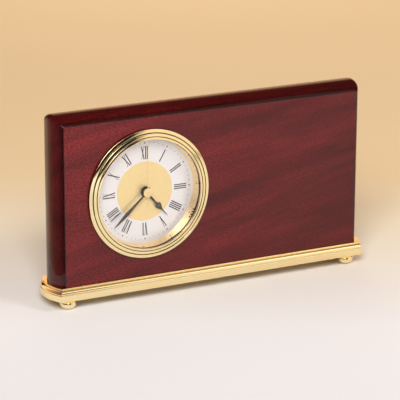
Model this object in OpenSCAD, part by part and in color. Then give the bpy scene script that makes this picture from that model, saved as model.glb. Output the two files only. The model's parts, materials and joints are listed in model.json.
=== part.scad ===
// Desk clock: a lacquered hardwood block with bowed ends and top, on a moulded brass base with
// four bun feet, holding a round drop-in quartz clock insert with a beaded bezel.
// Millimetres. Z is up and the dial faces -Y. The origin is on the ground, in the middle of the base.

/* [Wooden block] */
// Width of the block's flat front face
block_w = 203; // [190:1:215]
// Height of the block's flat front face
block_h = 100; // [96:1:110]
// Thickness of the block, front to back
block_d = 25.4; // [25:0.1:27]
// How far the ends and the top bow outwards at mid thickness
block_bow = 5.3; // [3:0.1:7]
// Radius of the front face's two upper corners
block_corner = 1.5; // [1:0.5:6]
// Width of the bevel that eases the block's front and back arrises
arris = 0.4; // [0.2:0.1:0.8]

/* [Brass base] */
// Width of the base at its front corners
base_w = 211.2; // [208:0.2:216]
// Depth of the base
base_d = 32.4; // [31:0.2:35]
// Height of the base moulding
base_h = 8.5; // [8:0.1:10]
// How far the ends of the base bow outwards
base_bow = 4.9; // [4:0.1:6]

/* [Feet] */
// Diameter of a bun foot at its widest
foot_d = 10.3; // [9:0.1:12]
// Height of a bun foot
foot_h = 6.5; // [6:0.1:8]
// Distance of a foot's centre from the middle of the base, along the width
foot_x = 98; // [90:1:99]
// Distance of a foot's centre from the middle of the base, along the depth
foot_y = 8; // [7:0.1:9]

/* [Clock insert] */
// Sideways place of the dial's centre
clock_x = -45.5; // [-52:0.5:-40]
// Height of the dial's centre above the block's lower edge
clock_rise = 52; // [48:0.5:54]
// Outer diameter of the bezel
bezel_d = 81.2; // [80:0.2:82]
// Inner diameter of the bezel, where the crystal shows
bezel_in_d = 68.6; // [68:0.1:69]
// Height of the bezel in front of the block
bezel_h = 3.3; // [3.2:0.1:3.4]
// Visible diameter of the dial
dial_d = 66; // [65:0.2:67]
// Depth of the dial's face behind the block's front face
dial_deep = 5.3; // [5.2:0.1:5.4]
// Diameter of the hole through the block
bore_d = 73.2; // [73:0.1:74]
// Diameter of the insert's cup
cup_d = 72; // [71.8:0.1:72]
// Depth of the cup behind the block's front face
cup_deep = 20.3; // [20.2:0.1:21]

/* [Hands] */
// Hour shown
shown_hour = 4; // [0:1:11]
// Minute shown
shown_minute = 38; // [0:1:59]
// Length of the hour hand from the centre
hour_len = 22.9; // [21:0.1:24]
// Length of the minute hand from the centre
minute_len = 30.3; // [28:0.1:31]
// Length of the second hand from the centre
second_len = 29.5; // [27:0.1:31]

/* [Movement] */
// Width of the movement case
case_w = 44; // [44:0.5:45]
// Top edge of the movement case above the centre
case_top = 22; // [22:0.5:23]
// Bottom edge of the movement case below the centre
case_bottom = 25; // [25:0.1:25.4]
// Diameter of the battery
battery_d = 11.8; // [11.4:0.1:11.8]
// Length of the battery
battery_len = 30.2; // [29.8:0.1:30.2]
// Diameter of the hand-setting knob
knob_d = 10; // [8:0.5:11]

/* [Hidden] */
$fn = 64;

// Levels of the base and the block
base_top = foot_h + base_h;
clock_z = base_top + clock_rise;
eps = 0.01;

// Moulding of the base, measured in from its outer edge and up from its underside
lip_h = 0.9;
lip_in = 1.7;
ovolo_in = 0.3;
ovolo_r = 2.8;
band_h = 4.7;
band_low_r = 1.1;
band_high_r = 0.5;

// Depths in the insert, positive in front of the block's front face
crystal_z = 0.9;
crystal_t = 1.2;
dial_z = -dial_deep;
dial_t = 0.5;
floor_z = dial_z - dial_t;
floor_t = 1.2;
hour_hand_z = dial_z + 1.4;
minute_hand_z = dial_z + 3.2;
second_hand_z = dial_z + 4.6;
hand_t = 0.35;
plate_z = floor_z - floor_t;
plate_t = 1.2;
case_back_z = -18.9;
cover_z = -19.1;
knob_z = -20.6;
knob_t = 4.2;

// Radii in the insert
cup_wall = 1;
battery_y = -17.6;
battery_z = -13.05;
bay_gap = 0.3;

// Radii of the coaxial pipes, from the hour hand's in to the second hand's
hour_pipe_r = 1.9;
minute_pipe_r = 1.35;
centre_pipe_r = 0.9;
second_arbor_r = 0.45;

// Front and back faces of each layer of the train
hour_layer = [-9.3, -8.5];
minute_layer = [-10.5, -9.7];
centre_layer = [-11.6, -10.9];
bridge_layer = [-12.6, -11.9];
third_layer = [-13.6, -12.9];
second_layer = [-14.6, -13.9];
inter_layer = [-15.6, -14.9];
case_floor_z = -17.9;

// Gear teeth and modules
rotor_n = 10;
inter_n = 50;
inter_pinion_n = 10;
second_n = 60;
second_pinion_n = 8;
third_n = 60;
third_pinion_n = 8;
centre_n = 64;
cannon_n = 12;
minute_n = 36;
minute_pinion_n = 10;
hour_n = 40;
setting_n = 12;
fine_m = 0.25;
coarse_m = 0.3;
third_dist = coarse_m * (third_n + second_pinion_n) / 2;
centre_m = 2 * third_dist / (centre_n + third_pinion_n);
inter_dist = fine_m * (second_n + inter_pinion_n) / 2;
rotor_dist = fine_m * (inter_n + rotor_n) / 2;
minute_dist = coarse_m * (minute_n + cannon_n) / 2;
hour_m = 2 * minute_dist / (hour_n + minute_pinion_n);
setting_dist = coarse_m * (minute_n + setting_n) / 2;

// Directions from one arbor to the next
third_dir = 160;
inter_dir = 60;
rotor_dir = -10;
minute_dir = -20;

function polar(r, a) = [r * cos(a), r * sin(a)];
// Angle at which a second gear's teeth fall in the gaps of a first, which lies opposite dir
function mesh_angle(dir, n1, a1, n2) = dir + 180 + (180 - (a1 - dir) * n1) / n2;

third_at = polar(third_dist, third_dir);
inter_at = polar(inter_dist, inter_dir);
rotor_at = inter_at + polar(rotor_dist, rotor_dir);
minute_at = polar(minute_dist, minute_dir);
setting_at = minute_at + polar(setting_dist, minute_dir);

minute_turn = -360 * shown_minute / 60;
hour_turn = -30 * (shown_hour + shown_minute / 60);

brass = [0.86, 0.70, 0.38];
gold = [0.90, 0.76, 0.45];
wood = [0.42, 0.16, 0.17];
silver = [0.86, 0.85, 0.86];
dark_metal = [0.20, 0.17, 0.15];
black_plastic = [0.12, 0.12, 0.13];
white_plastic = [0.88, 0.88, 0.84];
steel = [0.66, 0.67, 0.70];
rubber = [0.16, 0.16, 0.16];
copper = [0.75, 0.42, 0.22];

// ---- Shared shapes ----

// Places its children in the insert's frame: Z towards the viewer, from the block's front face
module in_clock() {
    translate([clock_x, -block_d / 2, clock_z])
        rotate([90, 0, 0])
            children();
}

// Disc from one level to another, in the insert's frame
module disc(r, z0, z1) {
    translate([0, 0, z0])
        cylinder(r = r, h = z1 - z0);
}

module ring(r_out, r_in, z0, z1) {
    difference() {
        disc(r_out, z0, z1);
        disc(r_in, z0 - 1, z1 + 1);
    }
}

module at(p) {
    translate([p[0], p[1], 0])
        children();
}

// Block from one corner to the opposite one
module span(a, b) {
    translate(a)
        cube(b - a);
}

// Thin-toothed gear outline with generous backlash
module gear_outline(n, m) {
    root = m * n / 2 - 1.15 * m;
    tip = m * n / 2 + 0.8 * m;
    step = 360 / n;
    polygon([
        for (i = [0 : n - 1])
            for (p = [[root, -0.27], [tip, -0.08], [tip, 0.08], [root, 0.27]])
                polar(p[0], (i + p[1]) * step)
    ]);
}

module gear(n, m, layer, turn) {
    translate([0, 0, layer[0]])
        rotate(turn)
            linear_extrude(height = layer[1] - layer[0])
                gear_outline(n, m);
}

// Slotted cheese-head screw along Z, with its head's face at the origin and its tip below
module screw(head_r, head_h, shank_r, length) {
    difference() {
        union() {
            disc(head_r, -head_h, 0);
            disc(shank_r, -head_h - length, -head_h);
        }
        span([-head_r - 1, -0.2, -head_h / 2], [head_r + 1, 0.2, 1]);
    }
}

// ---- Case ----

// Half section of the block across its thickness, out from a core line at -reach
module block_edge(reach) {
    half = block_d / 2;
    bow_r = (half * half + block_bow * block_bow) / (2 * block_bow);
    polygon([
        [-reach, -half], [-arris, -half], [0, -half + arris],
        [0, half - arris], [-arris, half], [-reach, half]
    ]);
    intersection() {
        translate([block_bow - bow_r, 0])
            circle(r = bow_r);
        translate([0, -half + arris])
            square([block_bow + 1, block_d - 2 * arris]);
    }
}

module block_solid() {
    core_w = block_w - 2 * block_corner;
    core_h = block_h - block_corner;
    translate([-core_w / 2, 0, base_top + block_h])
        rotate([90, 0, 90])
            linear_extrude(height = core_w)
                rotate(90)
                    mirror([0, 1])
                        block_edge(block_h);
    for (side = [0, 1])
        mirror([side, 0, 0]) {
            translate([block_w / 2, 0, base_top])
                linear_extrude(height = core_h)
                    block_edge(block_corner);
            translate([core_w / 2, 0, base_top + core_h])
                rotate([90, 0, 0])
                    rotate_extrude(angle = 90)
                        translate([block_corner, 0])
                            block_edge(block_corner);
        }
}

module case_block() {
    color(wood)
        difference() {
            block_solid();
            in_clock()
                disc(bore_d / 2, -block_d - 5, 5);
            base_screw_places()
                disc(1.2, -1, 14);
        }
}

// The two screws that hold the base to the block, from below
module base_screw_places() {
    for (x = [-70, 70])
        translate([x, 0, base_top])
            children();
}

// Section of the base moulding, from its middle plane to its outer edge
module base_section(reach) {
    square([reach - lip_in - lip_h / 2, base_h]);
    translate([reach - lip_in - lip_h / 2, base_h - lip_h / 2])
        circle(r = lip_h / 2);
    intersection() {
        translate([reach - ovolo_in - ovolo_r, base_h - lip_h - ovolo_r])
            circle(r = ovolo_r);
        square([reach, base_h - lip_h]);
    }
    square([reach - ovolo_in - ovolo_r, base_h - lip_h]);
    square([reach - band_low_r, band_h]);
    translate([0, band_low_r])
        square([reach, band_h - band_low_r - band_high_r]);
    translate([0, band_low_r])
        square([reach - band_high_r, band_h - band_low_r]);
    translate([reach - band_low_r, band_low_r])
        circle(r = band_low_r);
    translate([reach - band_high_r, band_h - band_high_r])
        circle(r = band_high_r);
}

module base_solid() {
    half = base_d / 2;
    bow_r = (half * half + base_bow * base_bow) / (2 * base_bow);
    bow_x = base_w / 2 + base_bow - bow_r;
    intersection() {
        translate([-base_w, 0, 0])
            rotate([90, 0, 90])
                linear_extrude(height = 2 * base_w)
                    for (side = [0, 1])
                        mirror([side, 0])
                            base_section(half);
        union() {
            span([-bow_x, -half - 2, -1], [bow_x, half + 2, base_h + 1]);
            for (side = [0, 1])
                mirror([side, 0, 0])
                    translate([bow_x, 0, 0])
                        rotate_extrude()
                            base_section(bow_r);
        }
    }
}

module foot_places() {
    for (x = [-foot_x, foot_x], y = [-foot_y, foot_y])
        translate([x, y, 0])
            children();
}

module base_plate() {
    color(brass)
        difference() {
            translate([0, 0, foot_h])
                base_solid();
            foot_places()
                disc(1.5, 0, foot_h + 5);
            base_screw_places() {
                disc(1.6, -base_h - 1, 1);
                disc(3.2, -base_h - 1, -base_h + 3);
            }
        }
}

module base_screws() {
    color(steel)
        base_screw_places()
            translate([0, 0, -base_h + 1])
                mirror([0, 0, 1])
                    screw(3, 2, 1.2, 14);
}

// Bun foot with the threaded stud that holds it in the base
module foot(x, y) {
    bulge = foot_d / 2;
    round_r = foot_h / 2 - 0.4;
    color(brass)
        translate([x, y, 0]) {
            rotate_extrude() {
                square([bulge - round_r, foot_h]);
                intersection() {
                    translate([bulge - round_r, foot_h / 2])
                        circle(r = round_r);
                    square([bulge + 1, foot_h]);
                }
            }
            disc(1.5, foot_h, foot_h + 4.5);
        }
}

module foot_front_left() {
    foot(-foot_x, -foot_y);
}

module foot_front_right() {
    foot(foot_x, -foot_y);
}

module foot_rear_left() {
    foot(-foot_x, foot_y);
}

module foot_rear_right() {
    foot(foot_x, foot_y);
}

// ---- Insert: bezel, crystal, dial and cup ----

// One raised bead of the bezel, between two radii, standing on a flat body
module bead(r_out, r_in, top) {
    r = (r_out - r_in) / 2;
    translate([r_in + r, top - r])
        circle(r = r);
    translate([r_in, 0])
        square([2 * r, top - r]);
}

module bezel() {
    outer = bezel_d / 2;
    inner = bezel_in_d / 2;
    color(brass)
        in_clock()
            difference() {
                rotate_extrude() {
                    bead(outer, outer - 2.2, 2.2);
                    bead(outer - 2.6, outer - 4.6, 2.9);
                    bead(inner + 1.5, inner, bezel_h);
                    translate([inner + 0.75, 0])
                        square([outer - inner - 4.35, 2.6]);
                    translate([inner + 0.75, 0])
                        square([outer - inner - 1.85, 1.3]);
                }
                disc(cup_d / 2, -1, crystal_z + crystal_t);
            }
}

module crystal() {
    color([0.85, 0.92, 0.95, 0.4])
        in_clock()
            disc(cup_d / 2 - 0.1, crystal_z, crystal_z + crystal_t);
}

module crystal_gasket() {
    color(rubber)
        in_clock()
            ring(cup_d / 2 - 0.1, bezel_in_d / 2 + 0.3, crystal_z - 0.5, crystal_z);
}

// Polished cone between the crystal and the dial
module rehaut_ring() {
    top = crystal_z - 0.5;
    outer = cup_d / 2 - cup_wall;
    color(gold)
        in_clock()
            difference() {
                disc(outer, dial_z, top);
                translate([0, 0, dial_z - eps])
                    cylinder(r1 = dial_d / 2, r2 = bezel_in_d / 2 - 0.1, h = top - dial_z + 2 * eps);
            }
}

module dial() {
    color(silver)
        in_clock()
            ring(dial_d / 2 + 1, 2.3, dial_z - dial_t, dial_z);
}

module insert_cup() {
    color(black_plastic)
        in_clock() {
            ring(cup_d / 2, cup_d / 2 - cup_wall, -cup_deep, crystal_z - 0.5);
            difference() {
                ring(cup_d / 2 - cup_wall + eps, 4, plate_z, floor_z);
                plate_screw_places() {
                    disc(0.7, plate_z - 1, floor_z + 1);
                    disc(1.1, floor_z - 0.8, floor_z + 1);
                }
            }
            for (a = [90, 210, 330])
                rotate(a)
                    cover_boss();
        }
}

// Boss inside the cup's wall that takes a screw of the back cover
module cover_boss() {
    difference() {
        translate([cup_d / 2 - cup_wall - 2, 0, 0])
            disc(2.2, cover_z, plate_z + eps);
        translate([cup_d / 2 - cup_wall - 2.4, 0, 0])
            disc(0.8, cover_z - 1, cover_z + 6);
    }
}

// Rubber ring that grips the hole in the block
module grip_ring() {
    color(rubber)
        in_clock()
            ring(bore_d / 2 - 0.05, cup_d / 2, -11, -6);
}

// ---- Hands ----

// Closes an outline given by its right-hand half, from the hub to the tip
function both_sides(half) = concat(half, [for (i = [len(half) - 1 : -1 : 0]) [-half[i][0], half[i][1]]]);

// Hand with a round hub pressed on its pipe, turned from twelve o'clock
module hand(hub_r, pipe_r, z, turn, half) {
    in_clock()
        rotate(turn)
            difference() {
                union() {
                    disc(hub_r, z, z + hand_t);
                    translate([0, 0, z])
                        linear_extrude(height = hand_t)
                            polygon(both_sides(half));
                }
                disc(pipe_r, z - 1, z + 2);
            }
}

// Spade hour hand: a stem, a teardrop and a fine point
module hour_hand() {
    spade_r = 2;
    spade_y = 13;
    spade = [for (a = [-60 : 15 : 30]) [spade_r * cos(a), spade_y + spade_r * sin(a)]];
    color(dark_metal)
        hand(3.5, hour_pipe_r, hour_hand_z, hour_turn,
            concat([[0.65, 0], [0.65, 10.4]], spade, [[0.3, 17.6], [0.1, hour_len]]));
}

module minute_hand() {
    color(dark_metal)
        hand(2.5, minute_pipe_r, minute_hand_z, minute_turn,
            [[0.6, 0], [0.5, 8], [1.1, 17], [0.1, minute_len]]);
}

module second_hand() {
    color(gold) {
        hand(2.95, second_arbor_r, second_hand_z, 0,
            [[0.35, -9], [0.13, second_len]]);
        in_clock()
            ring(1.6, second_arbor_r, second_hand_z + hand_t, second_hand_z + hand_t + 0.35);
    }
}

// ---- Movement: plates and motion work ----

plate_screw_spots = [[-18, 18], [18, 18], [-18.5, -8.5], [18.5, -8.5]];

module plate_screw_places() {
    for (p = plate_screw_spots)
        at(p)
            children();
}

// Space that the battery and its two contacts take up
module battery_bay(z0, z1) {
    half_l = battery_len / 2 + 0.4;
    half_h = battery_d / 2 + bay_gap;
    at([0, battery_y])
        span([-half_l, -half_h, z0], [half_l, half_h, z1]);
}

module front_plate() {
    color(white_plastic)
        in_clock() {
            difference() {
                span([-case_w / 2, -case_bottom, plate_z - plate_t], [case_w / 2, case_top, plate_z]);
                disc(hour_pipe_r + 0.1, plate_z - 5, plate_z + 1);
                battery_bay(plate_z - 5, plate_z + 1);
                plate_screw_places()
                    disc(0.7, plate_z - 5, plate_z + 1);
                at(third_at)
                    disc(0.45, plate_z - plate_t - 1, plate_z - 0.3);
                at(setting_at)
                    disc(0.65, plate_z - plate_t - 1, plate_z - 0.3);
            }
            at(minute_at)
                disc(0.6, minute_layer[0] - 0.2, plate_z - plate_t + eps);
        }
}

// Four screws that hold the movement to the cup's floor, under the dial
module plate_screws() {
    color(steel)
        in_clock()
            plate_screw_places() {
                disc(1.1, floor_z - 0.8, floor_z);
                disc(0.7, plate_z - plate_t - 3, floor_z - 0.8 + eps);
            }
}

minute_wheel_turn = mesh_angle(minute_dir, cannon_n, 0, minute_n);
hour_wheel_turn = mesh_angle(minute_dir + 180, minute_pinion_n, 0, hour_n);
setting_turn = mesh_angle(minute_dir, minute_n, minute_wheel_turn, setting_n);

module hour_wheel() {
    color(brass)
        in_clock()
            difference() {
                union() {
                    gear(hour_n, hour_m, hour_layer, hour_wheel_turn);
                    disc(hour_pipe_r, hour_layer[0], hour_hand_z + hand_t + 0.1);
                }
                disc(minute_pipe_r + 0.1, hour_layer[0] - 1, hour_hand_z + 2);
            }
}

module minute_wheel() {
    color(brass)
        in_clock()
            at(minute_at)
                difference() {
                    union() {
                        gear(minute_n, coarse_m, minute_layer, minute_wheel_turn);
                        gear(minute_pinion_n, hour_m, [minute_layer[1] - eps, hour_layer[1]], 0);
                    }
                    disc(0.65, minute_layer[0] - 1, 0);
                }
}

module cannon_pinion() {
    color(brass)
        in_clock()
            difference() {
                union() {
                    gear(cannon_n, coarse_m, minute_layer, 0);
                    disc(minute_pipe_r, minute_layer[0], minute_hand_z + hand_t + 0.1);
                }
                disc(centre_pipe_r + 0.05, minute_layer[0] - 1, minute_hand_z + 2);
            }
}

// ---- Movement: going train ----

third_wheel_turn = mesh_angle(third_dir, second_pinion_n, 0, third_n);
centre_wheel_turn = mesh_angle(third_dir + 180, third_pinion_n, 0, centre_n);
inter_pinion_turn = mesh_angle(inter_dir, second_n, 0, inter_pinion_n);
rotor_turn = mesh_angle(rotor_dir, inter_n, 0, rotor_n);

// Centre wheel with the long pipe on which the cannon pinion turns
module centre_wheel() {
    color(brass)
        in_clock()
            difference() {
                union() {
                    gear(centre_n, centre_m, centre_layer, centre_wheel_turn);
                    disc(1.6, centre_layer[0] - 0.2, centre_layer[0] + eps);
                    disc(centre_pipe_r, centre_layer[0], minute_hand_z + hand_t + 0.3);
                }
                disc(second_arbor_r + 0.08, centre_layer[0] - 1, minute_hand_z + 2);
            }
}

module third_wheel() {
    color(brass)
        in_clock()
            at(third_at) {
                gear(third_n, coarse_m, third_layer, third_wheel_turn);
                gear(third_pinion_n, centre_m, [third_layer[1] - eps, centre_layer[1]], 0);
                disc(0.4, case_floor_z - 0.6, plate_z - plate_t + 0.6);
            }
}

module second_wheel() {
    color(brass)
        in_clock() {
            gear(second_n, fine_m, second_layer, 0);
            gear(second_pinion_n, coarse_m, [second_layer[1] - eps, third_layer[1]], 0);
            disc(second_arbor_r, case_floor_z - 0.6, second_hand_z + hand_t + 0.5);
        }
}

module intermediate_wheel() {
    color(white_plastic)
        in_clock()
            at(inter_at) {
                gear(inter_n, fine_m, inter_layer, 0);
                gear(inter_pinion_n, fine_m, [inter_layer[1] - eps, second_layer[1]], inter_pinion_turn);
                disc(0.4, case_floor_z - 0.6, bridge_layer[0] + 0.4);
            }
}

// Magnet rotor of the stepping motor, with its pinion
module rotor() {
    color(steel)
        in_clock()
            at(rotor_at) {
                gear(rotor_n, fine_m, inter_layer, rotor_turn);
                disc(2.6, second_layer[0] + 0.1, third_layer[1]);
                disc(0.4, case_floor_z - 0.6, bridge_layer[0] + 0.4);
            }
}

module train_bridge() {
    color(white_plastic)
        in_clock()
            difference() {
                union() {
                    span([-20, -9.2, bridge_layer[0]], [20, 20, bridge_layer[1]]);
                    for (x = [-20, 17.5])
                        span([x, 13.8, case_floor_z], [x + 2.5, 16.2, bridge_layer[0] + eps]);
                }
                span(
                    [coil_x - 2.7, coil_ends[0] - 0.5, bridge_layer[0] - 1],
                    [coil_x + 5, coil_ends[1] + 0.5, bridge_layer[1] + 1]
                );
                disc(second_arbor_r + 0.05, bridge_layer[0] - 1, bridge_layer[1] + 1);
                at(third_at)
                    disc(1.7, bridge_layer[0] - 1, bridge_layer[1] + 1);
                for (p = [inter_at, rotor_at])
                    at(p)
                        disc(0.45, bridge_layer[0] - 1, bridge_layer[0] + 0.5);
                at(setting_at)
                    disc(1.3, bridge_layer[0] - 1, bridge_layer[1] + 1);
                plate_screw_places()
                    disc(1.8, case_floor_z - 1, bridge_layer[1] + 1);
            }
}

// ---- Movement: stepping motor ----

stator_layer = [-14.2, -13.4];
coil_x = 18.2;
coil_ends = [-1.9, 11.9];
coil_z = -14.6;
coil_flange_r = 2.4;
leg_w = 2.4;

// Two-legged iron plate round the rotor, reaching the coil's core at both ends
module stator() {
    color(steel)
        in_clock()
            difference() {
                translate([0, 0, stator_layer[0]])
                    linear_extrude(height = stator_layer[1] - stator_layer[0]) {
                        at(rotor_at)
                            circle(r = 3.9);
                        translate([rotor_at[0] - 2, coil_ends[0] - 0.8])
                            square([3.6, coil_ends[1] - coil_ends[0] + 1.6]);
                        for (y = [coil_ends[0] - 1.6, coil_ends[1] - 0.8])
                            translate([rotor_at[0] - 2, y])
                                square([coil_x - rotor_at[0] + 3, leg_w]);
                    }
                at(rotor_at)
                    disc(3, stator_layer[0] - 1, stator_layer[1] + 1);
            }
}

// Flat iron bar along the coil's axis, running past the coil's ends by a length
module core_bar(past) {
    span(
        [coil_x - 0.9, coil_ends[0] - past, stator_layer[0] - 0.8],
        [coil_x + 0.9, coil_ends[1] + past, stator_layer[0]]
    );
}

// Iron core under the stator's two ends, through the bobbin
module coil_core() {
    color(steel)
        in_clock()
            core_bar(1.6);
}

module coil_tube(r_out, y0, y1) {
    translate([coil_x, y1, coil_z])
        rotate([90, 0, 0])
            cylinder(r = r_out, h = y1 - y0);
}

module coil_bobbin() {
    color(white_plastic)
        in_clock()
            difference() {
                union() {
                    coil_tube(1.3, coil_ends[0] + 1, coil_ends[1] - 1);
                    coil_tube(coil_flange_r, coil_ends[0] + 1, coil_ends[0] + 1.6);
                    coil_tube(coil_flange_r, coil_ends[1] - 1.6, coil_ends[1] - 1);
                }
                core_bar(5);
            }
}

module coil_winding() {
    color(copper)
        in_clock()
            difference() {
                coil_tube(coil_flange_r - 0.3, coil_ends[0] + 1.6, coil_ends[1] - 1.6);
                coil_tube(1.3, coil_ends[0], coil_ends[1]);
            }
}

// ---- Movement: circuit, battery and case ----

board_layer = [-17.2, -16.4];

module circuit_board() {
    color([0.10, 0.35, 0.20])
        in_clock()
            difference() {
                span([-20.4, -8.5, board_layer[0]], [-11.4, 11, board_layer[1]]);
                at([-18.5, -8.5])
                    disc(2, board_layer[0] - 1, board_layer[1] + 1);
            }
}

module quartz_can() {
    color(steel)
        in_clock()
            translate([-18.6, 9, board_layer[1] + 1])
                rotate([90, 0, 0])
                    cylinder(r = 1, h = 6);
}

module timer_chip() {
    color(black_plastic)
        in_clock()
            span([-16, -3, board_layer[1]], [-12.5, 1, board_layer[1] + 0.8]);
}

module battery() {
    color([0.72, 0.60, 0.28])
        in_clock()
            translate([-battery_len / 2, battery_y, battery_z])
                rotate([0, 90, 0]) {
                    cylinder(d = battery_d, h = battery_len - 1);
                    cylinder(d = 4, h = battery_len);
                }
}

// Spring-steel strip at one end of the battery
module contact(side) {
    x = battery_len / 2;
    color(steel)
        in_clock()
            mirror([side, 0, 0])
                span([x, battery_y - 3.5, battery_z - 4], [x + 0.4, battery_y + 3.5, battery_z + 3]);
}

module contact_positive() {
    contact(0);
}

module contact_negative() {
    contact(1);
}

module movement_case() {
    wall = 1.2;
    bay_top = battery_y + battery_d / 2 + bay_gap;
    color(black_plastic)
        in_clock()
            difference() {
                span([-case_w / 2, -case_bottom, case_back_z], [case_w / 2, case_top, plate_z - plate_t]);
                difference() {
                    span(
                        [-case_w / 2 + wall, bay_top + wall, case_floor_z],
                        [case_w / 2 - wall, case_top - wall, plate_z]
                    );
                    plate_screw_places()
                        disc(1.6, case_floor_z - 1, plate_z - plate_t);
                    for (y = [-4, 8])
                        span([-20.9, y, case_floor_z - 1], [-12, y + 1.2, board_layer[0]]);
                }
                battery_bay(case_back_z - 1, plate_z);
                plate_screw_places()
                    disc(0.7, plate_z - plate_t - 3.2, plate_z);
                for (p = [[0, 0], third_at, inter_at, rotor_at])
                    at(p)
                        disc(0.5, case_floor_z - 0.7, case_floor_z + 1);
                at(setting_at)
                    disc(1.1, case_back_z - 1, case_floor_z + 1);
            }
}

// ---- Hand setting and back ----

module setting_shaft() {
    color(white_plastic)
        in_clock()
            at(setting_at) {
                gear(setting_n, coarse_m, minute_layer, setting_turn);
                disc(0.6, minute_layer[1] - eps, plate_z - plate_t + 0.5);
                disc(1, knob_z - knob_t + 1, minute_layer[0] + eps);
            }
}

// Knurled knob on the back, pressed on its shaft
module setting_knob() {
    grip_n = 24;
    rib_r = knob_d / 2 + 0.25;
    color(black_plastic)
        in_clock()
            at(setting_at)
                difference() {
                    union() {
                        disc(knob_d / 2, knob_z - knob_t, knob_z);
                        for (i = [0 : grip_n - 1])
                            rotate(i * 360 / grip_n)
                                span([rib_r - 0.75, -0.25, knob_z - knob_t], [rib_r, 0.25, knob_z]);
                    }
                    disc(1, knob_z - knob_t + 1, knob_z + 1);
                }
}

hatch_w = 33;
hatch_h = 13.6;

module back_cover() {
    color(black_plastic)
        in_clock()
            difference() {
                disc(cup_d / 2 - cup_wall, -cup_deep, cover_z);
                translate([-hatch_w / 2, battery_y - hatch_h / 2, -cup_deep - 1])
                    cube([hatch_w, hatch_h, 3]);
                at(setting_at)
                    disc(1.1, -cup_deep - 1, cover_z + 1);
                cover_screw_places()
                    disc(0.8, -cup_deep - 1, cover_z + 1);
            }
}

module cover_screw_places() {
    for (a = [90, 210, 330])
        rotate(a)
            at([cup_d / 2 - cup_wall - 2.4, 0])
                children();
}

module cover_screws() {
    color(steel)
        in_clock()
            cover_screw_places()
                translate([0, 0, -cup_deep - 0.8])
                    mirror([0, 0, 1])
                        screw(1.5, 0.8, 0.8, 5);
}

// Snap-in lid of the battery bay, with a finger ridge
module battery_cover() {
    gap = 0.15;
    w = hatch_w / 2 - gap;
    h = hatch_h / 2 - gap;
    color(black_plastic)
        in_clock()
            at([0, battery_y]) {
                span([-w, -h, -cup_deep], [w, h, cover_z]);
                for (i = [-2 : 2])
                    translate([2 * i, 0, 0])
                        span([-0.4, -3, -cup_deep - 0.5], [0.4, 3, -cup_deep + eps]);
            }
}

case_block();
base_plate();
base_screws();
foot_front_left();
foot_front_right();
foot_rear_left();
foot_rear_right();
bezel();
crystal();
crystal_gasket();
rehaut_ring();
dial();
insert_cup();
grip_ring();
hour_hand();
minute_hand();
second_hand();
front_plate();
plate_screws();
hour_wheel();
minute_wheel();
cannon_pinion();
centre_wheel();
third_wheel();
second_wheel();
intermediate_wheel();
rotor();
train_bridge();
stator();
coil_core();
coil_bobbin();
coil_winding();
circuit_board();
quartz_can();
timer_chip();
movement_case();
battery();
contact_positive();
contact_negative();
setting_shaft();
setting_knob();
back_cover();
cover_screws();
battery_cover();
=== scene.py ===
"""Looks of a desk clock: a lacquered wooden block on a moulded brass base, holding a round quartz insert.

Shapes are worked out in millimetres in the CAD model's frame (+Z up, the dial faces -Y) and put down in
metres. The studio at the end is in metres.
"""

import json
import math

import bmesh
import bpy
from mathutils import Matrix, Vector


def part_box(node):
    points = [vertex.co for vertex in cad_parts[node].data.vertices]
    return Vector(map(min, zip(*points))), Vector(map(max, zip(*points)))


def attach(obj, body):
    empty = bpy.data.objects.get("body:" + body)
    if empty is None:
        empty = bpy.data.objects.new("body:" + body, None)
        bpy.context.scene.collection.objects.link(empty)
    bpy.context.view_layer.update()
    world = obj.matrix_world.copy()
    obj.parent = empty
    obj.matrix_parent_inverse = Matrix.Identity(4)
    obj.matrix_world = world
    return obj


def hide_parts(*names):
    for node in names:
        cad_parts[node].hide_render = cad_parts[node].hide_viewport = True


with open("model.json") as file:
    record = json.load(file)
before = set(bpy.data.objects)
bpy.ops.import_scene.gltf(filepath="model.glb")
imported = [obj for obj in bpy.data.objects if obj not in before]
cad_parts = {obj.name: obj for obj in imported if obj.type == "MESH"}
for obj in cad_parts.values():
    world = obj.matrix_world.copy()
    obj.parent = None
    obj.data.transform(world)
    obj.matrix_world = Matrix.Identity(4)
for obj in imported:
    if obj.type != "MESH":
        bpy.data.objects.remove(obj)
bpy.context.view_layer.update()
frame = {"nodes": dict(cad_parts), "record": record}

# ---- Places taken from the frame ----

MM = 0.001


def box_mm(node):
    low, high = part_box(node)
    return low / MM, high / MM


BLOCK_LOW, BLOCK_HIGH = box_mm("case_block")
BASE_LOW, BASE_HIGH = box_mm("base_plate")
BEZEL_LOW, BEZEL_HIGH = box_mm("bezel")
DIAL_LOW, DIAL_HIGH = box_mm("dial")
CUP_LOW, CUP_HIGH = box_mm("insert_cup")
KNOB_LOW, KNOB_HIGH = box_mm("setting_knob")
LID_LOW, LID_HIGH = box_mm("battery_cover")

HALF_DEPTH = BLOCK_HIGH.y
FRONT_Y = BLOCK_LOW.y
CLOCK_X = (BEZEL_LOW.x + BEZEL_HIGH.x) / 2
CLOCK_Z = (BEZEL_LOW.z + BEZEL_HIGH.z) / 2
BEZEL_R = (BEZEL_HIGH.x - BEZEL_LOW.x) / 2
CUP_R = (CUP_HIGH.x - CUP_LOW.x) / 2
DIAL_R = (DIAL_HIGH.x - DIAL_LOW.x) / 2
# Depths in the insert count forwards from the block's front face
BEZEL_TOP = FRONT_Y - BEZEL_LOW.y
DIAL_FACE = FRONT_Y - DIAL_LOW.y
CUP_BACK = FRONT_Y - CUP_HIGH.y
# The insert's own frame: X to the right, Y up and Z towards the viewer
CLOCK = Matrix.Translation((CLOCK_X, FRONT_Y, CLOCK_Z)) @ Matrix.Rotation(math.radians(90), 4, "X")

# ---- Driving dimensions, in millimetres ----

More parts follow.
